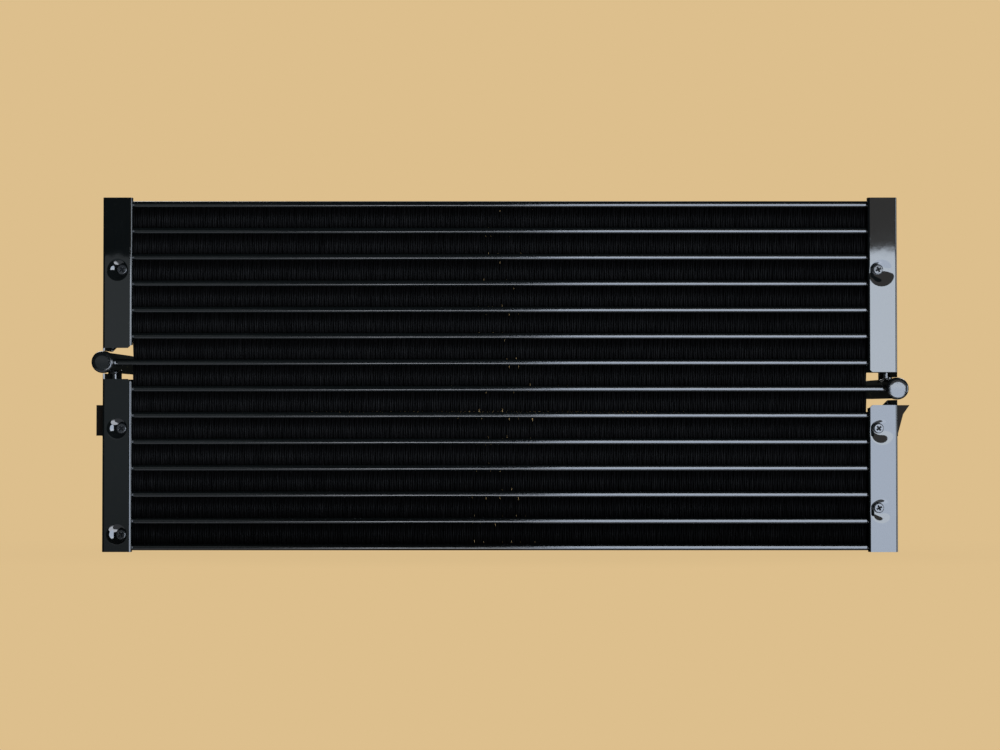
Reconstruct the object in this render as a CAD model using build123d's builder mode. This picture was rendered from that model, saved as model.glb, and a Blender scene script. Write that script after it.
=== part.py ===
from build123d import *
import os
from math import copysign, hypot

os.makedirs("parts", exist_ok=True)

# Serpentine-tube air conditioning condenser, in millimetres, +Z up.
# X is the width, Z the height, and the air-inlet face looks towards -Y.
# The origin is the middle of the footprint, level with the bottom of the side brackets.

# Flat tubes: two serpentines share the height, seven passes each
tube_passes = 7
tube_pitch = 21.0
tube_thickness = 5.0
tube_depth = 22.0
nose_bevel = 1.6
bottom_margin = 0.9
bend_start = 4.0  # straight tube between the fin end and the start of a return bend
tube_insertion = 2.5  # how far a tube end reaches through the wall of its header

# Corrugated fins between the tubes
fin_width = 584.0
fin_legs = 60
fin_depth = 20.0
fin_gauge = 0.3

# Side brackets: lipped channels folded from sheet
sheet = 1.5
flange_width = 23.2
fold_radius = 2.0
lip_clearance = 0.25  # between the lips and the tube noses
flange_stand_off = 3.0  # inside of a flange to the tube noses
top_margin = 2.2  # bracket above the highest tube
upper_left_gap = 11.2  # bracket end to the axis of the header beside it
lower_left_gap = 13.4
upper_right_gap = 13.1
lower_right_gap = 13.1
corner_cut = 3.2
tongue_clearance = 0.3  # web end to the header cap
rear_cut = 12.0
notch_clearance = 0.4

# Screws through the brackets, each midway between two tubes
screw_inset = 8.0  # from the inner edge of the flange
screw_radius = 2.0
screw_hole_clearance = 0.25
head_radius = 4.0
head_height = 2.4
head_bevel = 0.9
nut_across_flats = 7.0
nut_height = 3.2
thread_clearance = 0.05
screw_tip = 1.5
left_screw_rows = (3, 9, 13)  # a screw sits under the tube with this number, from the top
right_screw_rows = (3, 9, 12)

# Dished seats pressed into the front flanges
dish_inset = 10.6
dish_radius = 8.2
dish_seat_radius = 6.8
dish_depth = 1.5

# Headers: short round tubes that run front to back, one at each side
header_radius = 7.9
header_wall = 1.5
header_inset = 0.8  # axis inside the outer face of the brackets
header_front = 9.0  # header end in front of the tube noses
cap_wall = 0.85
cap_skirt = 6.0
cap_bevel = 1.0
slot_clearance = 0.15

# Link pipes carry refrigerant from a header to the far end of the other serpentine
pipe_radius = 5.55
pipe_wall = 1.2
pipe_clearance = 1.0  # behind the screw tips
pipe_bend_radius = 30.0
pipe_jog_height = 24.0
pipe_jog_start = 26.0  # centre of the end tube to the start of the jog
braze_gap = 0.05

# End tubes: short closed tubes on the free end of each serpentine
end_tube_radius = 5.8
end_tube_wall = 1.2
end_tube_web_clearance = 0.3
end_tube_overhang = 1.3
end_tube_lift = 0.2
plug_length = 4.0

# Threaded port fittings brazed into the back of the headers
header_back = 46.0  # header beyond the link pipe
port_thread_radius = 7.9
fitting_spigot = 5.0
fitting_collar = 3.0
fitting_neck = 2.5
fitting_neck_depth = 1.2
fitting_thread = 14.0
fitting_lead = 1.0
fitting_wall = 1.6

# Mounting ears welded to the outside of the lower brackets
ear_gauge = 2.0
ear_height = 24.7
ear_reach = 10.6
right_ear_reach = 15.4
right_ear_foot = 5.3
ear_weld_leg = 20.0
ear_waist = 10.3
ear_back = 13.0  # back of the standing leg, behind the middle of the core
ear_hole_radius = 2.1
ear_hole_offset = 4.2
ear_hole_drop = 7.3

# Derived places
tube_count = 2 * tube_passes
lowest_tube = bottom_margin + tube_thickness / 2
half_fins = fin_width / 2
bend_radius = tube_pitch / 2
bend_x = half_fins + bend_start
channel_half = tube_depth / 2 + flange_stand_off + sheet
lip_half = tube_depth / 2 + lip_clearance
bracket_inner = half_fins
bracket_outer = bracket_inner + flange_width
web_inner = bracket_outer - sheet
header_x = bracket_outer - header_inset
tube_end_in_header = header_x - header_radius + tube_insertion
end_tube_x = web_inner - end_tube_web_clearance - end_tube_radius
tube_end_in_end_tube = end_tube_x - end_tube_radius + tube_insertion
screw_x = bracket_inner + screw_inset
nut_back = channel_half + nut_height
pipe_back = nut_back + screw_tip + pipe_clearance + pipe_radius
header_back_end = pipe_back + pipe_radius + header_back
front_reach = tube_depth / 2 + header_front + cap_wall
rear_reach = header_back_end + fitting_collar + fitting_neck + fitting_thread
core_y = (front_reach - rear_reach) / 2  # puts the origin midway between front and back


def tube_z(number):
    """Height of the centre of a tube, numbered from the top."""
    return lowest_tube + tube_pitch * (tube_count - number)


left_header_z = tube_z(tube_passes)
right_header_z = tube_z(tube_passes + 1)
bracket_top = tube_z(1) + tube_thickness / 2 + top_margin
upper_left_low = left_header_z + upper_left_gap
lower_left_high = left_header_z - lower_left_gap
upper_right_low = right_header_z + upper_right_gap
lower_right_high = right_header_z - lower_right_gap
lower_end_z = end_tube_lift + end_tube_radius
upper_end_z = tube_z(1) + tube_z(tube_count) - lower_end_z
core_plane = Plane.XZ.offset(-core_y)


def save(piece, name):
    """Labels a finished piece and writes its file."""
    piece.part.label = name
    export_step(piece.part, f"parts/{name}.step")


def between(number):
    """Height midway between a tube and the one below it."""
    return (tube_z(number) + tube_z(number + 1)) / 2


# Flat tubes


def serpentine(heights, start_x, end_x):
    """A flat tube bent back and forth through the given heights."""
    with BuildLine(core_plane) as route:
        x = start_x
        for z, z_next in zip(heights, heights[1:]):
            turn_x = -copysign(bend_x, x)
            apex_x = turn_x + copysign(bend_radius, turn_x)
            Line((x, z), (turn_x, z))
            ThreePointArc((turn_x, z), (apex_x, (z + z_next) / 2), (turn_x, z_next))
            x = turn_x
        Line((x, heights[-1]), (end_x, heights[-1]))
    travel = -copysign(1, start_x)
    start = Plane(origin=(start_x, core_y, heights[0]), x_dir=(0, 1, 0), z_dir=(travel, 0, 0))
    with BuildPart() as tube:
        with BuildSketch(start) as section:
            Rectangle(tube_depth, tube_thickness)
            chamfer(section.vertices(), nose_bevel)
        sweep(path=route.line)
    return tube


upper_heights = [tube_z(number) for number in range(tube_passes, 0, -1)]
lower_heights = [tube_z(number) for number in range(tube_passes + 1, tube_count + 1)]
upper_flat_tube = serpentine(upper_heights, -tube_end_in_header, tube_end_in_end_tube)
lower_flat_tube = serpentine(lower_heights, tube_end_in_header, -tube_end_in_end_tube)
save(upper_flat_tube, "upper_flat_tube")
save(lower_flat_tube, "lower_flat_tube")


# Fins


def fin_row(number):
    """One strip folded into a zigzag that spans the gap under a tube."""
    leg_run = fin_width / fin_legs
    fin_height = tube_pitch - tube_thickness
    rise = fin_gauge / 2 * hypot(leg_run, fin_height) / leg_run
    swing = fin_height / 2 - rise
    middle = between(number)
    upper_side = []
    lower_side = []
    for fold in range(fin_legs + 1):
        x = -half_fins + fold * leg_run
        z = middle + swing * (-1) ** fold
        upper_side.append((x, z + rise))
        lower_side.append((x, z - rise))
    with BuildPart() as fins:
        with BuildSketch(core_plane):
            with BuildLine():
                Polyline(*upper_side, *reversed(lower_side), close=True)
            make_face()
        extrude(amount=fin_depth / 2, both=True)
    return fins


for number in range(1, tube_count):
    save(fin_row(number), f"fin_row_{number:02d}")


# Side brackets


def channel(side, low, high):
    """A lipped channel, open towards the core, between two heights."""
    with BuildPart() as section:
        with BuildSketch(Plane.XY.offset(low)):
            with Locations((side * (bracket_inner + flange_width / 2), core_y)):
                RectangleRounded(flange_width, 2 * channel_half, fold_radius)
                RectangleRounded(
                    flange_width - 2 * sheet,
                    2 * (channel_half - sheet),
                    fold_radius - sheet,
                    mode=Mode.SUBTRACT,
                )
            with Locations((side * bracket_inner, core_y)):
                Rectangle(3 * sheet, 2 * lip_half, mode=Mode.SUBTRACT)
        extrude(amount=high - low)
    return section


def bracket(side, low, high, screw_heights, header_z, end_z=None):
    """A channel with dished screw seats, cut at the end that lies beside the header.

    Only the web reaches on to the header. The back flange slopes away from it, or, where end_z
    gives it a notch for the end tube, it ends level with the front flange.
    """
    middle = (tube_z(1) + tube_z(tube_count)) / 2
    gap_end = high if high < 2 * middle - low else low
    outward = 1 if gap_end == high else -1
    end = header_z - outward * (header_radius + cap_wall + tongue_clearance)
    front_to_back = [(side * screw_x, core_y, z) for z in screw_heights]
    seats = [(side * (bracket_inner + dish_inset), z) for z in screw_heights]
    with BuildPart() as piece:
        add(channel(side, min(low, end), max(high, end)).part)
        # The inner corner of the front flange is cut across, beside the header
        with BuildSketch(core_plane):
            with Locations((side * bracket_inner, gap_end)):
                Rectangle(corner_cut * 2**0.5, corner_cut * 2**0.5, rotation=45)
        extrude(amount=channel_half + 1, mode=Mode.SUBTRACT)
        # Past the gap end, only the web is left
        with BuildSketch(core_plane):
            with BuildLine():
                Polyline(
                    (side * (bracket_inner - 1), gap_end),
                    (side * web_inner, gap_end),
                    (side * web_inner, end + outward),
                    (side * (bracket_inner - 1), end + outward),
                    close=True,
                )
            make_face()
        extrude(amount=channel_half + 1, both=end_z is not None, mode=Mode.SUBTRACT)
        if end_z is None:
            with BuildSketch(core_plane):
                with BuildLine():
                    Polyline(
                        (side * web_inner, end + outward),
                        (side * web_inner, end),
                        (side * (web_inner - rear_cut), end - outward * rear_cut),
                        (side * (bracket_inner - 1), end - outward * rear_cut),
                        (side * (bracket_inner - 1), end + outward),
                        close=True,
                    )
                make_face()
            extrude(amount=-(channel_half + 1), mode=Mode.SUBTRACT)
        # Each dish is a cone frustum pressed back by its own depth
        for x, z in seats:
            with Locations(Location((x, core_y - channel_half + sheet, z), (-90, 0, 0))):
                Cone(dish_radius, dish_seat_radius, dish_depth, align=(Align.CENTER, Align.CENTER, Align.MIN))
        for x, z in seats:
            with Locations(Location((x, core_y - channel_half, z), (-90, 0, 0))):
                Cone(
                    dish_radius,
                    dish_seat_radius,
                    dish_depth,
                    align=(Align.CENTER, Align.CENTER, Align.MIN),
                    mode=Mode.SUBTRACT,
                )
        with Locations(*[Location(spot, (-90, 0, 0)) for spot in front_to_back]):
            Cylinder(screw_radius + screw_hole_clearance, 3 * channel_half, mode=Mode.SUBTRACT)
        if end_z is not None:
            # The notch lets the end tube through to the link pipe
            notch_side = 1 if end_z > middle else -1
            notch_plane = Plane.XZ.offset(-core_y - tube_depth / 2)
            with BuildSketch(notch_plane):
                with Locations((side * end_tube_x, end_z)):
                    Circle(end_tube_radius + notch_clearance)
                with Locations((side * end_tube_x, end_z + notch_side * end_tube_radius)):
                    Rectangle(2 * (end_tube_radius + notch_clearance), 2 * end_tube_radius)
            extrude(amount=-channel_half, mode=Mode.SUBTRACT)
    return piece


left_screws = [between(row) for row in left_screw_rows]
right_screws = [between(row) for row in right_screw_rows]
upper_left_bracket = bracket(
    -1,
    upper_left_low,
    bracket_top,
    [z for z in left_screws if z > left_header_z],
    header_z=left_header_z,
)
lower_left_bracket = bracket(
    -1,
    0,
    lower_left_high,
    [z for z in left_screws if z < left_header_z],
    header_z=left_header_z,
    end_z=lower_end_z,
)
upper_right_bracket = bracket(
    1,
    upper_right_low,
    bracket_top,
    [z for z in right_screws if z > right_header_z],
    header_z=right_header_z,
    end_z=upper_end_z,
)
lower_right_bracket = bracket(
    1,
    0,
    lower_right_high,
    [z for z in right_screws if z < right_header_z],
    header_z=right_header_z,
)
save(upper_left_bracket, "upper_left_bracket")
save(lower_left_bracket, "lower_left_bracket")
save(upper_right_bracket, "upper_right_bracket")
save(lower_right_bracket, "lower_right_bracket")


# Bracket screws and nuts

screw_spots = [(-screw_x, z) for z in left_screws] + [(screw_x, z) for z in right_screws]
seat_y = core_y - channel_half + dish_depth
back_y = core_y + channel_half

with BuildPart() as bracket_screws:
    for x, z in screw_spots:
        face_back = Location((x, seat_y, z), (90, 0, 0))
        with Locations(face_back):
            Cylinder(head_radius, head_height - head_bevel, align=(Align.CENTER, Align.CENTER, Align.MIN))
        with Locations(Location((x, seat_y - head_height + head_bevel, z), (90, 0, 0))):
            Cone(
                head_radius,
                head_radius - head_bevel,
                head_bevel,
                align=(Align.CENTER, Align.CENTER, Align.MIN),
            )
        with Locations(Location((x, seat_y, z), (-90, 0, 0))):
            shank = back_y + nut_height + screw_tip - seat_y
            Cylinder(screw_radius, shank, align=(Align.CENTER, Align.CENTER, Align.MIN))
save(bracket_screws, "bracket_screws")

with BuildPart() as bracket_nuts:
    with BuildSketch(Plane.XZ.offset(-back_y)):
        with Locations(*screw_spots):
            RegularPolygon(nut_across_flats / 2, 6, major_radius=False)
            Circle(screw_radius + thread_clearance, mode=Mode.SUBTRACT)
    extrude(amount=-nut_height)
save(bracket_nuts, "bracket_nuts")


# Headers


def header(side, z, pipe_way):
    """A round tube that takes one flat tube and, at its back, one link pipe."""
    front_y = core_y - tube_depth / 2 - header_front
    back_end = core_y + header_back_end
    with BuildPart() as tube:
        with BuildSketch(Plane.XZ.offset(-front_y)):
            with Locations((side * header_x, z)):
                Circle(header_radius)
                Circle(header_radius - header_wall, mode=Mode.SUBTRACT)
        extrude(amount=-(back_end - front_y))
        # Slot for the flat tube
        with BuildSketch(Plane.YZ.offset(side * header_x)):
            with Locations((core_y, z)):
                Rectangle(tube_depth + 2 * slot_clearance, tube_thickness + 2 * slot_clearance)
        extrude(amount=-side * 2 * header_radius, mode=Mode.SUBTRACT)
        # Port into the link pipe
        with BuildSketch(Plane.XY.offset(z)):
            with Locations((side * header_x, core_y + pipe_back)):
                Circle(pipe_radius - pipe_wall)
        extrude(amount=pipe_way * 2 * header_radius, mode=Mode.SUBTRACT)
    return tube


def header_cap(side, z):
    """A cup pressed over the front end of a header."""
    front_y = core_y - front_reach
    with BuildPart() as cap:
        with BuildSketch(Plane.XZ.offset(-front_y)):
            with Locations((side * header_x, z)):
                Circle(header_radius + cap_wall)
        extrude(amount=-(cap_skirt + cap_wall))
        chamfer(cap.edges().filter_by(GeomType.CIRCLE).sort_by(Axis.Y)[0], cap_bevel)
        with BuildSketch(Plane.XZ.offset(-front_y - cap_wall)):
            with Locations((side * header_x, z)):
                Circle(header_radius)
        extrude(amount=-cap_skirt, mode=Mode.SUBTRACT)
    return cap


def port_fitting(side, z):
    """A turned fitting with a spigot in the header, a collar and a threaded end."""
    start = Plane.XZ.offset(-core_y - header_back_end)
    spigot_radius = header_radius - header_wall - braze_gap
    with BuildPart() as fitting:
        with BuildSketch(start):
            with Locations((side * header_x, z)):
                Circle(spigot_radius)
        extrude(amount=fitting_spigot)
        with BuildSketch(start):
            with Locations((side * header_x, z)):
                Circle(header_radius)
        extrude(amount=-fitting_collar)
        with BuildSketch(start.offset(-fitting_collar)):
            with Locations((side * header_x, z)):
                Circle(port_thread_radius - fitting_neck_depth)
        extrude(amount=-fitting_neck)
        with BuildSketch(start.offset(-fitting_collar - fitting_neck)):
            with Locations((side * header_x, z)):
                Circle(port_thread_radius)
        extrude(amount=-fitting_thread)
        chamfer(fitting.edges().filter_by(GeomType.CIRCLE).sort_by(Axis.Y)[-1], fitting_lead)
        with BuildSketch(start.offset(fitting_spigot)):
            with Locations((side * header_x, z)):
                Circle(spigot_radius - fitting_wall)
        extrude(amount=-3 * channel_half - fitting_spigot, mode=Mode.SUBTRACT)
    return fitting


inlet_header = header(-1, left_header_z, -1)
outlet_header = header(1, right_header_z, 1)
inlet_header_cap = header_cap(-1, left_header_z)
outlet_header_cap = header_cap(1, right_header_z)
inlet_fitting = port_fitting(-1, left_header_z)
outlet_fitting = port_fitting(1, right_header_z)
save(inlet_header, "inlet_header")
save(outlet_header, "outlet_header")
save(inlet_header_cap, "inlet_header_cap")
save(outlet_header_cap, "outlet_header_cap")
save(inlet_fitting, "inlet_fitting")
save(outlet_fitting, "outlet_fitting")


# End tubes and their plugs


def end_tube(side, z, pipe_way):
    """A short round tube, open at both ends, that takes the last pass of a serpentine."""
    front_y = core_y - tube_depth / 2 - end_tube_overhang
    length = pipe_back + pipe_radius + end_tube_overhang + tube_depth / 2 + end_tube_overhang
    with BuildPart() as tube:
        with BuildSketch(Plane.XZ.offset(-front_y)):
            with Locations((side * end_tube_x, z)):
                Circle(end_tube_radius)
                Circle(end_tube_radius - end_tube_wall, mode=Mode.SUBTRACT)
        extrude(amount=-length)
        slot_z = tube_z(1) if pipe_way < 0 else tube_z(tube_count)
        with BuildSketch(Plane.YZ.offset(side * end_tube_x)):
            with Locations((core_y, slot_z)):
                Rectangle(tube_depth + 2 * slot_clearance, tube_thickness + 2 * slot_clearance)
        extrude(amount=-side * 2 * end_tube_radius, mode=Mode.SUBTRACT)
        with BuildSketch(Plane.XY.offset(z)):
            with Locations((side * end_tube_x, core_y + pipe_back)):
                Circle(end_tube_radius - 2 * end_tube_wall)
        extrude(amount=pipe_way * 2 * end_tube_radius, mode=Mode.SUBTRACT)
    return tube


def end_plug(side, z, at_back):
    """A plug brazed into one end of an end tube, flush with it."""
    front_y = core_y - tube_depth / 2 - end_tube_overhang
    back = core_y + pipe_back + pipe_radius + end_tube_overhang
    y = back - plug_length if at_back else front_y
    length = plug_length if at_back else end_tube_overhang - slot_clearance
    with BuildPart() as plug:
        with BuildSketch(Plane.XZ.offset(-y)):
            with Locations((side * end_tube_x, z)):
                Circle(end_tube_radius - end_tube_wall - braze_gap)
        extrude(amount=-length)
    return plug


# Link pipes


def link_pipe(side, header_z, end_z):
    """A pipe behind a bracket, from a header to the end tube of the other serpentine."""
    way = copysign(1, end_z - header_z)
    jog_end = end_z - way * pipe_jog_start
    jog_begin = jog_end - way * pipe_jog_height
    pipe_plane = Plane.XZ.offset(-core_y - pipe_back)
    with BuildLine(pipe_plane) as route:
        FilletPolyline(
            (side * header_x, header_z),
            (side * header_x, jog_begin),
            (side * end_tube_x, jog_end),
            (side * end_tube_x, end_z),
            radius=pipe_bend_radius,
        )
    start = Plane(origin=(side * header_x, core_y + pipe_back, header_z), z_dir=(0, 0, way))
    with BuildPart() as pipe:
        with BuildSketch(start):
            Circle(pipe_radius)
            Circle(pipe_radius - pipe_wall, mode=Mode.SUBTRACT)
        sweep(path=route.line)
        # Both ends are shaped to saddle the tubes that they are brazed to
        for x, z, radius in (
            (side * header_x, header_z, header_radius + braze_gap),
            (side * end_tube_x, end_z, end_tube_radius + braze_gap),
        ):
            with Locations(Location((x, core_y + pipe_back, z), (90, 0, 0))):
                Cylinder(radius, 4 * pipe_radius, mode=Mode.SUBTRACT)
    return pipe


lower_end_tube = end_tube(-1, lower_end_z, 1)
upper_end_tube = end_tube(1, upper_end_z, -1)
save(lower_end_tube, "lower_end_tube")
save(upper_end_tube, "upper_end_tube")
save(end_plug(-1, lower_end_z, False), "lower_front_plug")
save(end_plug(-1, lower_end_z, True), "lower_back_plug")
save(end_plug(1, upper_end_z, False), "upper_front_plug")
save(end_plug(1, upper_end_z, True), "upper_back_plug")
left_link_pipe = link_pipe(-1, left_header_z, lower_end_z)
right_link_pipe = link_pipe(1, right_header_z, upper_end_z)
save(left_link_pipe, "left_link_pipe")
save(right_link_pipe, "right_link_pipe")


# Mounting ears


def mounting_ear(side, reach, foot):
    """A folded tab with one leg welded to the web and one leg standing out, with a bolt hole."""
    high = lower_right_high
    low = high - ear_height
    hole_x = bracket_outer + ear_hole_offset
    hole_z = high - ear_hole_drop
    with BuildPart() as ear:
        with BuildSketch(Plane.XY.offset(low)):
            with BuildLine():
                Polyline(
                    (side * bracket_outer, core_y + ear_back),
                    (side * (bracket_outer + reach), core_y + ear_back),
                    (side * (bracket_outer + reach), core_y + ear_back - ear_gauge),
                    (side * (bracket_outer + ear_gauge), core_y + ear_back - ear_gauge),
                    (side * (bracket_outer + ear_gauge), core_y + ear_back - ear_weld_leg),
                    (side * bracket_outer, core_y + ear_back - ear_weld_leg),
                    close=True,
                )
            make_face()
        extrude(amount=ear_height)
        if foot < reach:
            # The standing leg narrows towards its foot
            with BuildSketch(core_plane):
                with BuildLine():
                    Polyline(
                        (side * (bracket_outer + reach), high),
                        (side * (bracket_outer + ear_waist), hole_z),
                        (side * (bracket_outer + foot), low - 1),
                        (side * (bracket_outer + reach + 1), low - 1),
                        close=True,
                    )
                make_face()
            extrude(amount=-channel_half - 1, mode=Mode.SUBTRACT)
        with Locations(Location((side * hole_x, core_y + ear_back - ear_gauge / 2, hole_z), (90, 0, 0))):
            Cylinder(ear_hole_radius, 2 * ear_gauge, mode=Mode.SUBTRACT)
    return ear


left_mounting_ear = mounting_ear(-1, ear_reach, ear_reach)
right_mounting_ear = mounting_ear(1, right_ear_reach, right_ear_foot)
save(left_mounting_ear, "left_mounting_ear")
save(right_mounting_ear, "right_mounting_ear")
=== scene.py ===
# %% [markdown]
# A gloss black air conditioning condenser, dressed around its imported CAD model.
# The CAD pieces give every size and place. This script adds what paint, folding and
# brazing leave behind: louvred fins, round tube noses, dented bracket flanges, threads.

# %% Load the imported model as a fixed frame
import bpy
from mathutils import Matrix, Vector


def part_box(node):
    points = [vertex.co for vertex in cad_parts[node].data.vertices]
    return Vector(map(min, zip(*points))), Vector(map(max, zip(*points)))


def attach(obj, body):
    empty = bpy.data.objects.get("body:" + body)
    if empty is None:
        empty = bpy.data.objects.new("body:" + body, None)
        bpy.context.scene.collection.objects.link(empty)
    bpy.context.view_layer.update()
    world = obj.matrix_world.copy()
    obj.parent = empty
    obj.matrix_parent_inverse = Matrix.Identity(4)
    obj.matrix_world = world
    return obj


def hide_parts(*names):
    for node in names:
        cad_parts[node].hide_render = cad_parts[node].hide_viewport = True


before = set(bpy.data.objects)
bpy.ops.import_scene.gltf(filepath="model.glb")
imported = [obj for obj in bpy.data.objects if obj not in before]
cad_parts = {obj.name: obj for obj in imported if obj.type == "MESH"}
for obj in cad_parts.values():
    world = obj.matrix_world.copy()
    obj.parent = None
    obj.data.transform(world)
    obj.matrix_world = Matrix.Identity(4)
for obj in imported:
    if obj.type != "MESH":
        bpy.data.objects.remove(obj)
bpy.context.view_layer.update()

# %% Tools used all through
import math
import random

import bpy
import bmesh
from mathutils import Matrix, Vector, noise

mm = 0.001
random.seed(14)

# %% [markdown]
# The camera comes first, because everything is seen through it. The photograph looks at the front from about a metre
# and a half, a little below the middle of the core: the far ends of both headers lie lower in it than their caps do.
# So the camera tilts up a little.
# A pixel there is 0.795 mm at the tube noses, which fixes the lens once the distance is chosen.

# %% Camera
tube_low, tube_high = [Vector(corner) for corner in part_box("upper_flat_tube")]
core_front = tube_low.y
core_back = tube_high.y
core_middle = (core_front + core_back) / 2
pixel_size = 0.795 * mm
image_width = 1000
camera_distance = 1.4
middle_height = 140.2 * mm
camera_height = 114 * mm

camera_data = bpy.data.cameras.new("camera")
camera_data.sensor_width = 36
camera_data.lens = camera_data.sensor_width * camera_distance / (image_width * pixel_size)
camera_data.dof.use_dof = False
camera = bpy.data.objects.new("camera", camera_data)
camera.location = (0, core_front - camera_distance, camera_height)
tilt = math.atan((middle_height - camera_height) / camera_distance)
camera.rotation_euler = (math.radians(90) + tilt, 0, 0)
bpy.context.scene.collection.objects.link(camera)
bpy.context.scene.camera = camera
bpy.context.scene.view_settings.view_transform = "Standard"
print("lens", round(camera_data.lens, 1))

# %% [markdown]
# Gloss black shows only what it mirrors. In the photograph something bright as a window stands
# to the right, from well below the camera up to a little above it, and the left is dim. A flat
# flange shows one place in the room, and the walls of its dents show places beside it, so the
# edges of the panels decide what shape each dent seems to have. Weak panels light the back.
# An area lamp is seen in reflections, which a point lamp is not.

# %% Soft panels
def panel(name, centre, target, width, height, watts, tint=(1, 1, 1)):
    """A rectangular soft light that faces a target."""
    data = bpy.data.lights.new(name, "AREA")
    data.shape = "RECTANGLE"
    data.size = width
    data.size_y = height
    data.energy = watts
    data.color = tint
    lamp = bpy.data.objects.new(name, data)
    lamp.location = centre
    way = Vector(target) - Vector(centre)
    lamp.rotation_euler = way.to_track_quat("-Z", "Y").to_euler()
    lamp.visible_camera = False
    bpy.context.scene.collection.objects.link(lamp)
    return lamp


panel_y = core_front - 2.0
core_centre = (0, core_middle, middle_height)


def front_panel(name, x_low, x_high, z_low, z_high, radiance, tint):
    """A panel in the plane two metres in front, given by its edges and its brightness."""
    width = x_high - x_low
    height = z_high - z_low
    centre = Vector(((x_low + x_high) / 2, panel_y, (z_low + z_high) / 2))
    watts = radiance * math.pi * width * height
    return panel(name, centre, centre + Vector((0, 1, 0)), width, height, watts, tint)


def low_panel(name, x_low, x_high, y_low, y_high, z, radiance, tint):
    """A level panel below and in front of the core, which faces up."""
    width = x_high - x_low
    depth = y_high - y_low
    centre = Vector(((x_low + x_high) / 2, core_front - (y_low + y_high) / 2, z))
    data = panel(name, centre, centre + Vector((0, 0, 1)), width, depth, radiance * math.pi * width * depth, tint)
    data.rotation_euler = (math.radians(180), 0, 0)
    return data


def side_panel(name, x, y_low, y_high, z_low, z_high, radiance, tint):
    """A vertical panel beside the core, which faces it."""
    width = y_high - y_low
    height = z_high - z_low
    centre = Vector((x, core_front - (y_low + y_high) / 2, (z_low + z_high) / 2))
    watts = radiance * math.pi * width * height
    return panel(name, centre, centre - Vector((x, 0, 0)), width, height, watts, tint)


window_top = 0.417
window_middle = 0.17
sky = (0.79, 0.88, 1.0)
low_sky = (0.72, 0.825, 1.0)
pale = (0.86, 0.91, 1.0)
dusk = (1.0, 0.93, 0.88)
front_panel("window_high", 0.10, 1.42, window_middle, window_top, 8.5, sky)
front_panel("window_low", 0.10, 1.42, -1.0, window_middle, 7.9, low_sky)
front_panel("wall_over_window", 0.20, 1.42, window_top, 0.9, 0.40, dusk)
front_panel("middle_strip", -0.30, 0.10, -0.95, -0.42, 6.5, pale)
front_panel("left_strip", -0.44, -0.30, -0.95, -0.42, 2.5, pale)
front_panel("left_low", -1.2, -0.45, -0.5, 0.20, 0.215, (0.8, 0.93, 1.0))
front_panel("left_high", -1.2, -0.45, 0.20, 0.41, 0.40, (0.86, 0.95, 1.0))
low_panel("table_right", 0.03, 1.4, 0.12, 1.9, -0.6, 0.8, pale)
low_panel("table_left", -1.4, -0.15, 0.12, 1.9, -0.6, 0.5, pale)
side_panel("side_right", 2.2, 0.1, 1.0, -0.5, 0.6, 7.0, sky)
panel("top_back", (-0.2, core_front + 0.9, 2.2), core_centre, 1.2, 1.0, 9)
panel("back_left", (-1.2, 1.4, 1.9), core_centre, 1.2, 1.2, 30)
panel("back_right", (1.4, 1.2, 1.7), core_centre, 0.9, 1.2, 20)

# %% [markdown]
# Each finish is a small graph of nodes. Writing the graph as sums is easier to read than a
# list of links, so one class wraps a socket and gives it plus, minus and times. Any other
# node comes from one method of the finish, which takes its type, settings and sockets.

# %% A socket that can be used in sums
class Wire:
    """One output socket of a finish's node tree."""

    def __init__(self, finish, socket):
        self.finish = finish
        self.socket = socket

    def sum_with(self, operation, first, second):
        settings = {"operation": operation}
        return self.finish.node("ShaderNodeMath", settings, {0: first, 1: second})

    def __add__(self, other):
        return self.sum_with("ADD", self, other)

    def __radd__(self, other):
        return self.sum_with("ADD", other, self)

    def __sub__(self, other):
        return self.sum_with("SUBTRACT", self, other)

    def __rsub__(self, other):
        return self.sum_with("SUBTRACT", other, self)

    def __mul__(self, other):
        return self.sum_with("MULTIPLY", self, other)

    def __rmul__(self, other):
        return self.sum_with("MULTIPLY", other, self)


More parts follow.
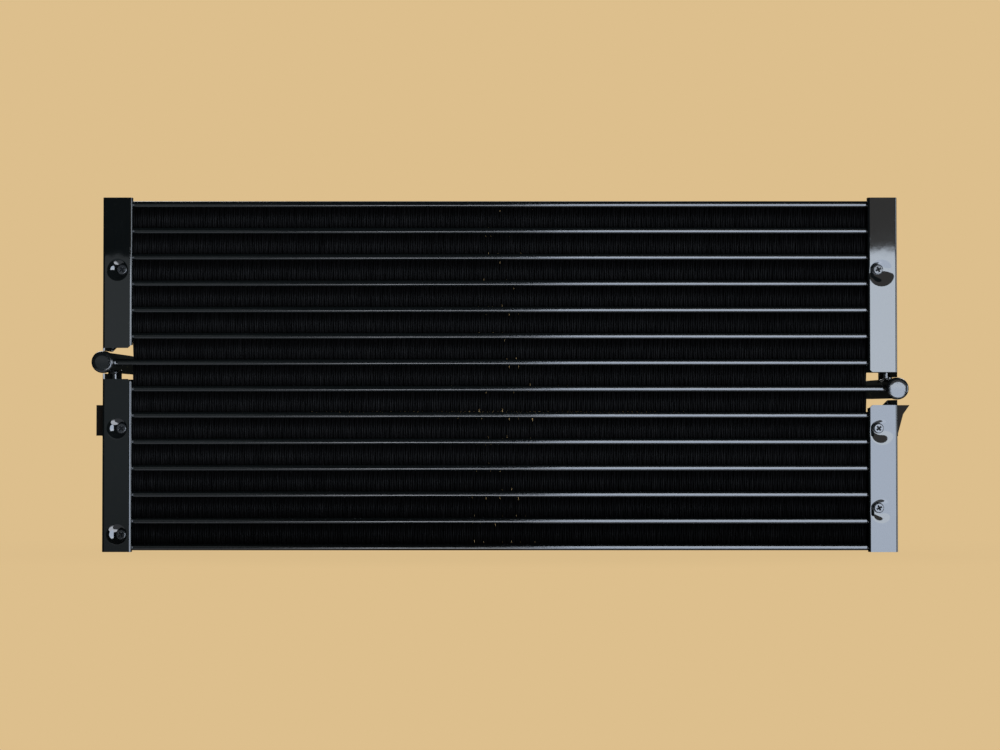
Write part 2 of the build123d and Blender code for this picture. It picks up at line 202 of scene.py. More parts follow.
class Finish:
    """A material with one Principled shader, and a way to add nodes to it."""

    def __init__(self, name, **constants):
        self.material = bpy.data.materials.new(name)
        self.material.use_nodes = True
        self.tree = self.material.node_tree
        self.shader = self.tree.nodes["Principled BSDF"]
        for socket, value in constants.items():
            self.shader.inputs[socket.replace("_", " ")].default_value = value
        self.place = self.node("ShaderNodeTexCoord", {}, {}, "Object")

    def node(self, kind, settings, sockets, output=0):
        made = self.tree.nodes.new(kind)
        for setting, value in settings.items():
            if setting == "stops":
                self.set_stops(made.color_ramp, value)
            else:
                setattr(made, setting, value)
        for socket, value in sockets.items():
            if isinstance(value, Wire):
                self.tree.links.new(value.socket, made.inputs[socket])
            else:
                made.inputs[socket].default_value = value
        return Wire(self, made.outputs[output])

    def set_stops(self, ramp, stops):
        while len(ramp.elements) < len(stops):
            ramp.elements.new(0.5)
        for element, (position, value) in zip(ramp.elements, stops):
            element.position = position
            element.color = value if isinstance(value, tuple) else (value, value, value, 1)

    def noise(self, scale, detail=2.0, roughness=0.5, stretch=(1, 1, 1)):
        mapped = self.node("ShaderNodeMapping", {}, {"Vector": self.place, "Scale": stretch})
        sockets = {"Vector": mapped, "Scale": scale, "Detail": detail, "Roughness": roughness}
        return self.node("ShaderNodeTexNoise", {}, sockets, "Fac")

    def specks(self, scale, size):
        """A mask that is 1 on small scattered dots."""
        cells = self.node("ShaderNodeTexVoronoi", {}, {"Vector": self.place, "Scale": scale}, "Distance")
        return self.ramp(cells, ((0.0, 1.0), (size, 0.0)))

    def ramp(self, value, stops):
        return self.node("ShaderNodeValToRGB", {"stops": stops}, {"Fac": value}, "Color")

    def mix(self, factor, first, second):
        settings = {"data_type": "RGBA"}
        return self.node("ShaderNodeMix", settings, {0: factor, 6: first, 7: second}, 2)

    def bump(self, height, strength, distance):
        sockets = {"Height": height, "Strength": strength, "Distance": distance}
        return self.node("ShaderNodeBump", {}, sockets, "Normal")

    def feed(self, **links):
        for socket, wire in links.items():
            self.tree.links.new(wire.socket, self.shader.inputs[socket.replace("_", " ")])
        return self.material


# %% [markdown]
# The brackets are folded steel with one thick coat of gloss enamel. Sprayed enamel has a
# fine orange peel and a slow ripple from the sheet under it. It also has a little dust, which is
# greyer and rougher than the paint. The reflection must stay clear, so the bumps are faint.

# %% Bracket enamel
def bracket_enamel():
    finish = Finish("bracket_enamel", Specular_IOR_Level=0.75)
    peel = finish.noise(900, 1.0)
    ripple = finish.noise(38, 2.0, 0.55)
    cloud = finish.noise(26, 4.0, 0.6)
    dust = finish.specks(520, 0.11) * finish.ramp(cloud, ((0.45, 0.0), (0.7, 1.0)))
    black = finish.mix(cloud, (0.003, 0.004, 0.004, 1), (0.006, 0.007, 0.007, 1))
    colour = finish.mix(dust * 0.5, black, (0.16, 0.17, 0.16, 1))
    roughness = 0.02 + cloud * 0.025 + dust * 0.25
    normal = finish.bump(peel * 0.02 + ripple, 0.035, 0.0012)
    return finish.feed(Base_Color=colour, Roughness=roughness, Normal=normal)


# %% [markdown]
# The flat tubes are aluminium dipped or sprayed with thinner paint. Braze flux leaves small
# grains under it, so the bright line along a nose is not perfectly even. The grains are
# stretched a little along the tube, as they would be on an extruded surface.

# %% Tube paint
def tube_paint():
    finish = Finish("tube_paint", Specular_IOR_Level=0.7)
    grain = finish.noise(420, 3.0, 0.6, (0.35, 1, 1))
    sag = finish.noise(60, 2.0, 0.5, (0.3, 1, 1))
    grit = finish.specks(700, 0.16) * finish.ramp(sag, ((0.5, 0.0), (0.66, 1.0)))
    colour = finish.mix(sag, (0.003, 0.004, 0.004, 1), (0.006, 0.007, 0.007, 1))
    roughness = 0.09 + grain * 0.07 + grit * 0.2
    normal = finish.bump(grain * 0.3 + sag + grit * 0.6, 0.12, 0.0006)
    return finish.feed(Base_Color=colour, Roughness=roughness, Normal=normal)


# %% [markdown]
# Paint reaches the fins only as mist, so they are dull, and some edges stay a shade lighter.
# The grey varies from fin to fin more than along one, so its noise is squeezed across X.

# %% Fin paint
def fin_paint():
    finish = Finish("fin_paint", Specular_IOR_Level=0.12)
    strokes = finish.noise(500, 3.0, 0.6, (1.6, 0.3, 0.10))
    drift = finish.noise(22, 3.0, 0.6)
    mist = finish.ramp(strokes, ((0.42, 0.0), (0.72, 1.0))) * (0.35 + drift * 0.65)
    colour = finish.mix(mist, (0.001, 0.001, 0.001, 1), (0.009, 0.008, 0.008, 1))
    roughness = 0.66 - mist * 0.2
    normal = finish.bump(strokes, 0.35, 0.0003)
    return finish.feed(Base_Color=colour, Roughness=roughness, Normal=normal)


# %% [markdown]
# Headers, caps and pipes wear the same gloss black as the tubes, over round copper-coloured
# and steel tube that was handled after painting. Fine hairlines across the paint catch light.

# %% Pipe paint
def pipe_paint():
    finish = Finish("pipe_paint", Specular_IOR_Level=0.75)
    runs = finish.noise(90, 3.0, 0.5, (1, 0.35, 0.35))
    hairs = finish.noise(260, 6.0, 0.75, (4.0, 0.4, 1.0))
    scuff = finish.ramp(hairs, ((0.58, 0.0), (0.68, 1.0)))
    grit = finish.specks(480, 0.12)
    colour = finish.mix(scuff * 0.3, (0.007, 0.008, 0.008, 1), (0.05, 0.052, 0.05, 1))
    roughness = 0.1 + runs * 0.08 + scuff * 0.12 + grit * 0.15
    normal = finish.bump(runs + scuff * 0.15 + grit * 0.3, 0.12, 0.0008)
    return finish.feed(Base_Color=colour, Roughness=roughness, Normal=normal)


# %% [markdown]
# Screws and nuts are black zinc on steel: metal, but very dark, with brighter worn edges in
# the driver recess. The port fittings are turned steel under the same coat, and their lathe
# lines run round the axis, so their noise is stretched around it.

# %% Fastener and fitting metals
def black_zinc():
    finish = Finish("black_zinc", Specular_IOR_Level=0.8)
    blotch = finish.noise(330, 3.0, 0.6)
    wear = finish.ramp(finish.noise(900, 4.0, 0.7), ((0.55, 0.0), (0.75, 1.0)))
    colour = finish.mix(blotch, (0.014, 0.015, 0.016, 1), (0.028, 0.030, 0.032, 1))
    metallic = wear * 0.3
    roughness = 0.13 + blotch * 0.12
    normal = finish.bump(blotch + wear * 0.4, 0.1, 0.0002)
    return finish.feed(Base_Color=colour, Metallic=metallic, Roughness=roughness, Normal=normal)


# The mounting ears are dark and rough. Their brownish tint is a painted reflection of the tan backdrop, which the side
# of an ear mirrors at a grazing angle.
def ear_painted_tan_reflection():
    finish = Finish("ear_painted_tan_reflection", Specular_IOR_Level=0.12)
    mottle = finish.noise(140, 4.0, 0.65)
    colour = finish.mix(mottle, (0.006, 0.005, 0.004, 1), (0.020, 0.014, 0.009, 1))
    roughness = 0.55 + mottle * 0.2
    normal = finish.bump(mottle, 0.3, 0.0004)
    return finish.feed(Base_Color=colour, Roughness=roughness, Normal=normal)


def turned_black():
    finish = Finish("turned_black", Specular_IOR_Level=0.6)
    lathe = finish.noise(700, 2.0, 0.5, (0.05, 3.0, 0.05))
    stain = finish.noise(120, 4.0, 0.6)
    colour = finish.mix(stain, (0.014, 0.015, 0.016, 1), (0.04, 0.041, 0.043, 1))
    roughness = 0.26 + lathe * 0.2
    normal = finish.bump(lathe + stain * 0.4, 0.25, 0.0004)
    return finish.feed(Base_Color=colour, Roughness=roughness, Normal=normal)


enamel = bracket_enamel()
tube_black = tube_paint()
fin_black = fin_paint()
pipe_black = pipe_paint()
zinc = black_zinc()
fitting_black = turned_black()
ear_finish_with_painted_reflection = ear_painted_tan_reflection()
print("finishes", len(bpy.data.materials))

# %% [markdown]
# Most pieces below are grids: rows of points joined by four-sided faces, with the rows
# closed into a ring or not. One helper makes any of them, and another says which body a
# piece rides on, which CAD nodes it stands for and whose finish it takes.

# %% Grid helper and piece helper
def grid_mesh(name, rows, ring=True, capped=True):
    """A surface through rows of points, each row closed into a ring where ring is set."""
    count = len(rows[0])
    points = [point for row in rows for point in row]
    faces = []
    across = count if ring else count - 1
    for r in range(len(rows) - 1):
        for c in range(across):
            following = (c + 1) % count
            faces.append((r * count + c, r * count + following, (r + 1) * count + following, (r + 1) * count + c))
    if ring and capped:
        faces.append(tuple(reversed(range(count))))
        faces.append(tuple(range((len(rows) - 1) * count, len(rows) * count)))
    mesh = bpy.data.meshes.new(name)
    mesh.from_pydata(points, [], faces)
    fix = bmesh.new()
    fix.from_mesh(mesh)
    bmesh.ops.recalc_face_normals(fix, faces=fix.faces)
    fix.to_mesh(mesh)
    fix.free()
    return mesh


def piece(name, meshes, finish, stands_for=(), crease=40):
    """One object of one or more meshes, placed on the body and given its finish."""
    joined = bmesh.new()
    for mesh in meshes:
        joined.from_mesh(mesh)
    mesh = bpy.data.meshes.new(name)
    joined.to_mesh(mesh)
    joined.free()
    mesh.materials.append(finish)
    mesh.shade_smooth()
    mesh.set_sharp_from_angle(angle=math.radians(crease))
    made = bpy.data.objects.new(name, mesh)
    bpy.context.scene.collection.objects.link(made)
    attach(made, "root")
    if stands_for:
        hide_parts(*stands_for)
    print(name, len(mesh.polygons), "faces")
    return made


# %% [markdown]
# Each flat tube is one extrusion bent to and fro, so it is one profile carried along one path. The CAD profile has
# cheap bevelled noses; here the noses are nearly flat with round corners, because the bright line on a nose is the
# main thing that the eye sees of a tube.

# %% Flat tubes
row_names = [f"fin_row_{number:02d}" for number in range(1, 14)]
row_boxes = [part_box(name) for name in row_names]
fin_left = row_boxes[0][0][0]
fin_right = row_boxes[0][1][0]
tube_pitch = row_boxes[0][0][2] - row_boxes[1][0][2]
fin_height = row_boxes[0][1][2] - row_boxes[0][0][2]
tube_thickness = tube_pitch - fin_height
tube_heights = [row_boxes[0][1][2] + tube_thickness / 2 - tube_pitch * number for number in range(14)]
bend_start = 4 * mm
nose_steps = 14
nose_length = 2.2 * mm
nose_squareness = 0.75
bend_steps = 22


def tube_profile():
    """Offsets (depth, across) round a flat tube with round-cornered, nearly flat noses."""
    radius = tube_thickness / 2
    straight = (core_back - core_front) / 2 - nose_length
    profile = []
    for side in (-1, 1):
        for step in range(nose_steps + 1):
            angle = math.radians(-90 + 180 * step / nose_steps)
            across = math.copysign(abs(math.sin(angle)) ** nose_squareness, math.sin(angle))
            reach = nose_length * abs(math.cos(angle)) ** nose_squareness
            profile.append((side * (straight + reach), -side * radius * across))
    return profile


def serpentine_rows(heights, start_x, end_x):
    """Rings of points along a tube that turns back at alternate ends."""
    stations = []
    x = start_x
    for z, z_next in zip(heights, heights[1:]):
        way = -math.copysign(1, x)
        turn_x = way * (fin_right + bend_start)
        middle = (z + z_next) / 2
        lean = math.copysign(1, z - z_next)
        stations.append((x, z, 0, lean))
        for step in range(bend_steps + 1):
            angle = math.pi * step / bend_steps
            out = math.sin(angle)
            up = math.cos(angle) * lean
            radius = tube_pitch / 2
            stations.append((turn_x + way * radius * out, middle + radius * up, way * out, up))
        x = turn_x
    stations.append((end_x, heights[-1], 0, -lean))
    profile = tube_profile()
    rows = []
    for x, z, normal_x, normal_z in stations:
        rows.append([(x + normal_x * across, core_middle + depth, z + normal_z * across) for depth, across in profile])
    return rows


upper_low, upper_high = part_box("upper_flat_tube")
lower_low, lower_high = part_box("lower_flat_tube")
header_reach = 309 * mm
end_tube_reach = 304.3 * mm
upper_rows = serpentine_rows(tube_heights[6::-1], -header_reach, end_tube_reach)
lower_rows = serpentine_rows(tube_heights[7:], header_reach, -end_tube_reach)
piece("upper_tube", [grid_mesh("upper_tube", upper_rows)], tube_black, ["upper_flat_tube"])
piece("lower_tube", [grid_mesh("lower_tube", lower_rows)], tube_black, ["lower_flat_tube"])

# %% [markdown]
# A fin strip is thin sheet folded into legs about 2 mm apart. Each leg is slit and twisted
# into louvres, which stir the air and also stop one seeing straight through the core. The
# CAD strips have far fewer folds, so each is replaced here by its true fine one. No two legs
# are quite alike: the folds wander a little and some front edges are pushed over.

# %% Louvred fin strips
leg_pitch = 1.86 * mm
crest_width = 1.3 * mm
entry_depth = 1.0 * mm
louvre_count = 3
louvre_angle = math.radians(37)
fin_gauge = 0.1 * mm


def fin_mesh(name, low, high):
    """A folded strip of louvred legs that fills one row's box."""
    legs = round((high[0] - low[0]) / leg_pitch)
    run = (high[0] - low[0]) / legs
    half_depth = (high[1] - low[1]) / 2
    middle_y = (high[1] + low[1]) / 2
    bank = half_depth - 1.3 * entry_depth
    louvre_depth = bank / louvre_count
    points = []
    faces = []

    def quad(a, b, c, d):
        start = len(points)
        points.extend((a, b, c, d))
        faces.append((start, start + 1, start + 2, start + 3))

    def panel_of_leg(first, last, y_0, y_1, shift_0=0.0, shift_1=0.0):
        quad(
            (first[0] + shift_0, y_0, first[1]),
            (first[0] + shift_1, y_1, first[1]),
            (last[0] + shift_1, y_1, last[1]),
            (last[0] + shift_0, y_0, last[1]),
        )

    inset = fin_gauge / 2
    x = low[0] + crest_width / 2
    for leg in range(legs):
        wander = random.uniform(-0.16, 0.16) * mm
        x_next = low[0] + (leg + 1) * run - crest_width / 2
        if leg < legs - 1:
            x_next += wander
        up_first = leg % 2 == 0
        z_first, z_last = (high[2] - inset, low[2] + inset) if up_first else (low[2] + inset, high[2] - inset)
        first = (x, z_first)
        last = (x_next, z_last)
        front = low[1] + random.uniform(0.0, 0.35) * mm
        back = high[1]
        push = random.gauss(0, 0.10) * mm
        panel_of_leg(first, last, front, low[1] + entry_depth, push, 0)
        panel_of_leg(first, last, middle_y - 0.3 * entry_depth, middle_y + 0.3 * entry_depth)
        panel_of_leg(first, last, high[1] - entry_depth, back)
        for bank_side in (-1, 1):
            bank_start = low[1] + entry_depth if bank_side < 0 else middle_y + 0.3 * entry_depth
            for louvre in range(louvre_count):
                y_0 = bank_start + louvre * louvre_depth
                y_1 = y_0 + louvre_depth
                twist = math.tan(louvre_angle + random.uniform(-0.05, 0.05)) * louvre_depth / 2
                panel_of_leg(first, last, y_0, y_1, bank_side * twist, -bank_side * twist)
        if leg < legs - 1:
            quad(
                (x_next, front, z_last),
                (x_next, back, z_last),
                (x_next + crest_width, back, z_last),
                (x_next + crest_width, front, z_last),
            )
        x = x_next + crest_width
    mesh = bpy.data.meshes.new(name)
    mesh.from_pydata(points, [], faces)
    return mesh


for name, (low, high) in zip(row_names, row_boxes):
    strip = piece(name + "_louvred", [fin_mesh(name, low, high)], fin_black, [name])
    gauge = strip.modifiers.new("gauge", "SOLIDIFY")
    gauge.thickness = fin_gauge
    gauge.offset = 0

# %% [markdown]
# A bracket is one sheet folded into a lipped channel. Its flange is drawn in round each screw into a seat with a round
# floor, whose wall is steep on one side and long and shallow on the other. Those walls bend the reflections into
# crescents, so they have to be smooth. The sheet is made as a fine grid along its middle surface, pushed in near the
# screws, then thickened.
# Every end cut is a height that depends only on the place along the section.

# %% Folded bracket sheets
sheet = 1.5 * mm
fold_radius = 1.0 * mm
fold_support = 0.08 * mm
lip_clearance = 0.25 * mm
bracket_inner = fin_right
corner_cut = 3.2 * mm
rear_cut = 12 * mm
notch_radius = 6.2 * mm
seat_depth = {-1: 1.5 * mm, 1: 1.0 * mm}
seat_floor = {-1: 3.0 * mm, 1: 3.2 * mm}
seat_wall_short = {-1: 1.4 * mm, 1: 3.3 * mm}
seat_wall_long = {-1: 9.5 * mm, 1: 12.0 * mm}
seat_facing = {-1: 0.0, 1: math.radians(-42)}
screw_inset = 8 * mm
hole_radius = 2.25 * mm
column_step = 0.6 * mm
web_step = 4 * mm
row_step = 0.7 * mm


def section_samples(front, back, outer):
    """Places round a lipped channel: (part, distance from inner edge, y, normal)."""
    inner_x = sheet / 2
    outer_x = outer - bracket_inner - sheet / 2
    front_y = front + sheet / 2
    back_y = back - sheet / 2
    corners = [
        (inner_x, core_front - lip_clearance),
        (inner_x, front_y),
        (outer_x, front_y),
        (outer_x, back_y),
        (inner_x, back_y),
        (inner_x, core_back + lip_clearance),
    ]
    parts = ("front_lip", "front_flange", "web", "back_flange", "back_lip")
    samples = []
    for index, part in enumerate(parts):
        start = Vector(corners[index])
        end = Vector(corners[index + 1])
        way = (end - start).normalized()
        normal = Vector((way.y, -way.x))
        trim_start = fold_radius if index > 0 else 0
        trim_end = fold_radius if index < len(parts) - 1 else 0
        length = (end - start).length - trim_start - trim_end
        steps = max(2, round(length / (web_step if part == "web" else column_step)))
        places = [length * step / steps for step in range(steps + 1)]
        for place in sorted(places + [fold_support, length - fold_support]):
            spot = start + way * (trim_start + place)
            samples.append((part, spot.x, spot.y, normal))
        if trim_end:
            following = (Vector(corners[index + 2]) - end).normalized()
            centre = end - way * fold_radius + following * fold_radius
            for step in range(1, 5):
                turn = math.radians(90 * step / 5)
                out = -following * math.cos(turn) + way * math.sin(turn)
                spot = centre + out * fold_radius
                part_here = part if step < 3 else parts[index + 1]
                samples.append((part_here, spot.x, spot.y, out))
    return samples


def seat_push(side, across, along):
    """How far a flange is pressed in at a place beside a screw.

    The seat's floor is round, and its wall is steep on one side and long and shallow on the other.
    """
    reach = math.hypot(across, along) - seat_floor[side]
    turn = math.atan2(along, across) - seat_facing[side]
    openness = ((1 + math.cos(turn)) / 2) ** 1.3
    wall = seat_wall_short[side] + (seat_wall_long[side] - seat_wall_short[side]) * openness
    share = min(1, max(0, reach / wall))
    return seat_depth[side] * (1 - share * share * (3 - 2 * share))


def bracket_mesh(name, side, low, high, seats, gap_is_high, tongue, notch=None):
    """The thick folded sheet of one bracket, from low to high, with its web's tongue.

    The back flange slopes away from the tongue, or has a notch for an end tube at its far end.
    """
    box_low, box_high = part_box(name)
    outer = max(abs(box_low[0]), abs(box_high[0]))
    gap_sign = 1 if gap_is_high else -1
    gap_end = high if gap_is_high else low
    samples = section_samples(box_low[1], box_high[1], outer)
    web_inner = outer - bracket_inner - sheet

    def ends(part, inset):
        gap = gap_end
        if part in ("front_lip", "front_flange"):
            gap -= gap_sign * max(0, corner_cut - inset)
        if part == "web":
            gap = tongue
        if notch is None and part in ("back_flange", "back_lip"):
            gap = tongue - gap_sign * min(rear_cut, max(0, web_inner - inset))
        far = low if gap_is_high else high
        if notch is not None and part in ("back_flange", "back_lip"):
            centre_inset, centre_z = notch
            reach = notch_radius**2 - (inset - centre_inset) ** 2
            if reach > 0:
                edge = math.sqrt(reach)
                far = centre_z + gap_sign * edge
        return (far, gap) if gap_is_high else (gap, far)

    steps = round((high - low) / row_step)
    rows = []
    for step in range(steps + 1):
        row = []
        for part, inset, y, normal in samples:
            bottom, top = ends(part, inset)
            z = bottom + (top - bottom) * step / steps
            push = 0.0
            inside = False
            if part == "front_flange":
                for seat_z in seats:
                    push += seat_push(side, inset - screw_inset, z - seat_z)
                slow = noise.noise(Vector((inset * 60 + side * 9, z * 16, outer)))
                push += 0.10 * mm * slow
            if part in ("front_flange", "back_flange"):
                for seat_z in seats:
                    away = Vector((inset - screw_inset, z - seat_z))
                    if away.length < hole_radius + row_step / 2:
                        inside = True
                        away.length = hole_radius
                        inset = screw_inset + away.x
                        z = seat_z + away.y
            row.append((inset, y, z, normal, push, inside))
        rows.append(row)
    return sheet_solid(name, rows, side)


def sheet_solid(name, rows, side):
    """A closed sheet of even thickness on both sides of a grid, with its holes left out."""
    count = len(rows[0])
    layer = len(rows) * count
    points = []
    for face_side in (1, -1):
        for row in rows:
            for inset, y, z, normal, push, inside in row:
                x = bracket_inner + inset + normal.x * face_side * sheet / 2
                points.append((side * x, y + normal.y * face_side * sheet / 2 + push, z))
    faces = []
    rim = set()
    for r in range(len(rows) - 1):
        for c in range(count - 1):
            spots = [(r, c), (r, c + 1), (r + 1, c + 1), (r + 1, c)]
            if all(rows[a][b][5] for a, b in spots):
                continue
            corners = [a * count + b for a, b in spots]
            faces.append(tuple(corners))
            faces.append(tuple(layer + corner for corner in reversed(corners)))
            for start, end in zip(corners, corners[1:] + corners[:1]):
                if (end, start) in rim:
                    rim.remove((end, start))
                else:
                    rim.add((start, end))
    for start, end in sorted(rim):
        faces.append((end, start, layer + start, layer + end))
    mesh = bpy.data.meshes.new(name)
    mesh.from_pydata(points, [], faces)
    fix = bmesh.new()
    fix.from_mesh(mesh)
    loose = [point for point in fix.verts if not point.link_faces]
    bmesh.ops.delete(fix, geom=loose, context="VERTS")
    bmesh.ops.recalc_face_normals(fix, faces=fix.faces)
    fix.to_mesh(mesh)
    fix.free()
    return mesh


screw_rows_left = (3, 9, 13)
screw_rows_right = (3, 9, 12)
left_seats = [tube_heights[row - 1] - tube_pitch / 2 for row in screw_rows_left]
right_seats = [tube_heights[row - 1] - tube_pitch / 2 for row in screw_rows_right]
tongue_margin = (7.9 + 0.85 + 0.3) * mm
left_header_z = tube_heights[6]
right_header_z = tube_heights[7]
end_tube_low, end_tube_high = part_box("lower_end_tube")
notch_inset = -(end_tube_low[0] + end_tube_high[0]) / 2 - bracket_inner
lower_notch = (notch_inset, (end_tube_low[2] + end_tube_high[2]) / 2)
up_low, up_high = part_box("upper_end_tube")
upper_notch = (notch_inset, (up_low[2] + up_high[2]) / 2)
bracket_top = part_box("upper_left_bracket")[1][2]

gap_ends = {
    "upper_left_bracket": left_header_z + 11.2 * mm,
    "lower_left_bracket": left_header_z - 13.4 * mm,
    "upper_right_bracket": right_header_z + 13.1 * mm,
    "lower_right_bracket": right_header_z - 13.1 * mm,
}
bracket_sheets = {
    "upper_left_bracket": bracket_mesh(
        "upper_left_bracket", -1, gap_ends["upper_left_bracket"], bracket_top, left_seats[:1],
        False, left_header_z + tongue_margin),
    "lower_left_bracket": bracket_mesh(
        "lower_left_bracket", -1, 0, gap_ends["lower_left_bracket"], left_seats[1:],
        True, left_header_z - tongue_margin, lower_notch),
    "upper_right_bracket": bracket_mesh(
        "upper_right_bracket", 1, gap_ends["upper_right_bracket"], bracket_top, right_seats[:1],
        False, right_header_z + tongue_margin, upper_notch),
    "lower_right_bracket": bracket_mesh(
        "lower_right_bracket", 1, 0, gap_ends["lower_right_bracket"], right_seats[1:],
        True, right_header_z - tongue_margin),
}
for name, mesh in bracket_sheets.items():
    made = piece(name + "_sheet", [mesh], enamel, [name])
    edge = made.modifiers.new("edge", "BEVEL")
    edge.width = 0.25 * mm
    edge.segments = 2
    edge.limit_method = "ANGLE"
    edge.angle_limit = math.radians(50)

# %% [markdown]
# Caps, screws, nuts and fittings are all turned parts that point along Y. A turned part is a
# profile of radius against depth, spun round its axis. A profile point may also be six-sided,
# for a hexagon, or follow a helix, for a thread, and then its radius depends on the angle.

# %% Turned pieces
def hexagon(radius, chamfer, y, y_way):
    """A ring on a hexagon whose corners are cut back by a cone."""
    def at(angle):
        corner = abs((angle % math.radians(60)) - math.radians(30))
        reach = radius / math.cos(math.radians(30) - abs(math.radians(30) - corner))
        return reach, y + y_way * chamfer * (reach - radius)
    return at


def turned(name, x, z, profile, segments, closed=False):
    """A profile of (radius, y) points, or functions of the angle, spun round Y at (x, z)."""
    rows = []
    for entry in profile:
        row = []
        for step in range(segments):
            angle = 2 * math.pi * step / segments
            radius, y = entry(angle) if callable(entry) else entry
            row.append((x + radius * math.cos(angle), y, z + radius * math.sin(angle)))
        rows.append(row)
    if closed:
        rows.append(rows[0])
    mesh = grid_mesh(name, rows, capped=not closed)
    if closed:
        weld = bmesh.new()
        weld.from_mesh(mesh)
        bmesh.ops.remove_doubles(weld, verts=weld.verts, dist=0.001 * mm)
        bmesh.ops.recalc_face_normals(weld, faces=weld.faces)
        weld.to_mesh(mesh)
        weld.free()
    return mesh


def fillet_points(corner, start, end, radius, steps):
    """Points that round the corner of a profile."""
    corner, start, end = Vector(corner), Vector(start), Vector(end)
    first = corner + (start - corner).normalized() * radius
    last = corner + (end - corner).normalized() * radius
    centre = first + last - corner
    points = []
    for step in range(steps + 1):
        turn = math.radians(90 * step / steps)
        spot = centre + (first - centre) * math.cos(turn) + (last - centre) * math.sin(turn)
        points.append((spot.x, spot.y))
    return points


# %% [markdown]
# A header's cap is a shallow cup drawn from sheet, so its rim is round and its face is slightly domed.

# %% Header caps
def cap_mesh(name):
    low, high = [Vector(corner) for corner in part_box(name)]
    x = (low.x + high.x) / 2
    z = (low.z + high.z) / 2
    outer = (high.x - low.x) / 2
    wall = 0.8 * mm
    round_radius = 2.2 * mm
    dome = 0.35 * mm
    front = low.y
    profile = [(0.02 * mm, front)]
    for step in range(1, 8):
        radius = (outer - round_radius) * step / 8
        profile.append((radius, front + dome * (radius / outer) ** 2))
    rim_y = front + dome
    profile += fillet_points((outer, rim_y), (0, rim_y), (outer, high.y), round_radius, 8)
    profile += [(outer, high.y - 0.25 * mm), (outer - 0.2 * mm, high.y), (outer - wall, high.y)]
    profile += [(outer - wall, front + 1.5 * mm), (0.02 * mm, front + 1.2 * mm)]
    return turned(name, x, z, profile, 72)


for name in ("inlet_header_cap", "outlet_header_cap"):
    piece(name + "_drawn", [cap_mesh(name)], pipe_black, [name])


# %% [markdown]
# Where a flat tube enters its header, the braze alloy has flowed into a rough collar. It is
# a rounded swelling whose width wanders, so noise moves its points in and out a little.

# %% Braze collars
def collar_mesh(name, x_start, x_end, z, grow):
    """A swelling round a flat tube that flares towards the header at x_end."""
    steps = 14
    rows = []
    for step in range(steps + 1):
        share = step / steps
        swell = grow * share**2.2
        row = []
        for depth, across in tube_profile():
            spot = Vector((x_start + (x_end - x_start) * share, core_middle + depth, z + across))
            rough = noise.noise(spot * 420) * 0.4 + noise.noise(spot * 1100) * 0.22
            out = Vector((0, depth * 0.35, across)).normalized()
            amount = 0.05 * mm + swell * (1 + rough)
            row.append(spot + out * amount)
        rows.append(row)
    return grid_mesh(name, rows)


left_collar = collar_mesh("left_collar", -303.2 * mm, -308.4 * mm, left_header_z, 1.25 * mm)
right_collar = collar_mesh("right_collar", 302.2 * mm, 308.4 * mm, right_header_z, 1.5 * mm)
piece("left_header_braze", [left_collar], tube_black)
piece("right_header_braze", [right_collar], tube_black)

# %% [markdown]
# The screws are pan heads with a cross recess. The head is a polar grid pushed back where the
# cross is: two crossing bars with soft edges, deepest in the middle. The shank is threaded
# as far as the nut at the back.

# %% Pan-head screws
screw_low, screw_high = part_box("bracket_screws")
head_radius = 4 * mm
head_front = screw_low[1]
head_thickness = {-1: 2.4 * mm, 1: 1.9 * mm}
shank_end = screw_high[1]
recess_half_width = 0.66 * mm
recess_reach = 2.15 * mm
recess_depth_most = 1.15 * mm
thread_radius = 1.95 * mm
thread_pitch = 0.8 * mm


def soft_step(value, edge, width):
    share = min(1, max(0, (edge - value) / width + 0.5))
    return share * share * (3 - 2 * share)


def recess_depth(u, v):
    """How deep the cross recess is at a place on the head."""
    deepest = 0.0
    for along, over in ((u, v), (v, u)):
        groove = max(0, 1 - abs(over) / recess_half_width)
        deepest = max(deepest, groove * soft_step(abs(along), recess_reach, 0.3 * mm))
    return deepest * recess_depth_most


def screw_meshes(x, z, turn):
    head_seat = head_front + head_thickness[math.copysign(1, x)]
    segments = 80
    rings = 28
    rows = []
    for ring in range(rings + 1):
        share = ring / rings
        radius = max(0.02 * mm, head_radius * share)
        edge = max(0, (share - 0.8) / 0.2)
        y_ring = head_front + 0.05 * mm * share**2 + 0.9 * mm * (1 - math.sqrt(max(0, 1 - edge**2)))
        row = []
        for step in range(segments):
            angle = 2 * math.pi * step / segments
            u = radius * math.cos(angle)
            v = radius * math.sin(angle)
            cosine, sine = math.cos(turn), math.sin(turn)
            deep = recess_depth(u * cosine + v * sine, v * cosine - u * sine)
            row.append((x + u, y_ring + deep, z + v))
        rows.append(row)
    flat = [(x + head_radius * math.cos(2 * math.pi * step / segments), head_seat - 0.1 * mm,
             z + head_radius * math.sin(2 * math.pi * step / segments)) for step in range(segments)]
    under = [(x + (spot[0] - x) * 0.96, head_seat, z + (spot[2] - z) * 0.96) for spot in flat]
    rows += [flat, under]
    head = grid_mesh("head", rows)

    turns = (shank_end - 0.8 * mm - head_seat) / thread_pitch
    profile = [(thread_radius, head_seat - 0.1 * mm)]
    for step in range(int(turns * 5)):
        y = head_seat + 0.3 * mm + step * thread_pitch / 5

        def thread(angle, y=y):
            phase = (y / thread_pitch + angle / (2 * math.pi)) % 1
            return thread_radius - 0.28 * mm * abs(2 * phase - 1), y
        profile.append(thread)
    profile += [(1.5 * mm, shank_end - 0.4 * mm), (0.9 * mm, shank_end)]
    return [head, turned("shank", x, z, profile, 16)]


screw_x = 300 * mm
screw_spots = [(-screw_x, z) for z in left_seats] + [(screw_x, z) for z in right_seats]
screw_turns = [math.radians(30 + random.uniform(-15, 25)) for spot in screw_spots]
screws = []
for (x, z), turn in zip(screw_spots, screw_turns):
    screws += screw_meshes(x, z, turn)
piece("pan_head_screws", screws, zinc, ["bracket_screws"], crease=35)

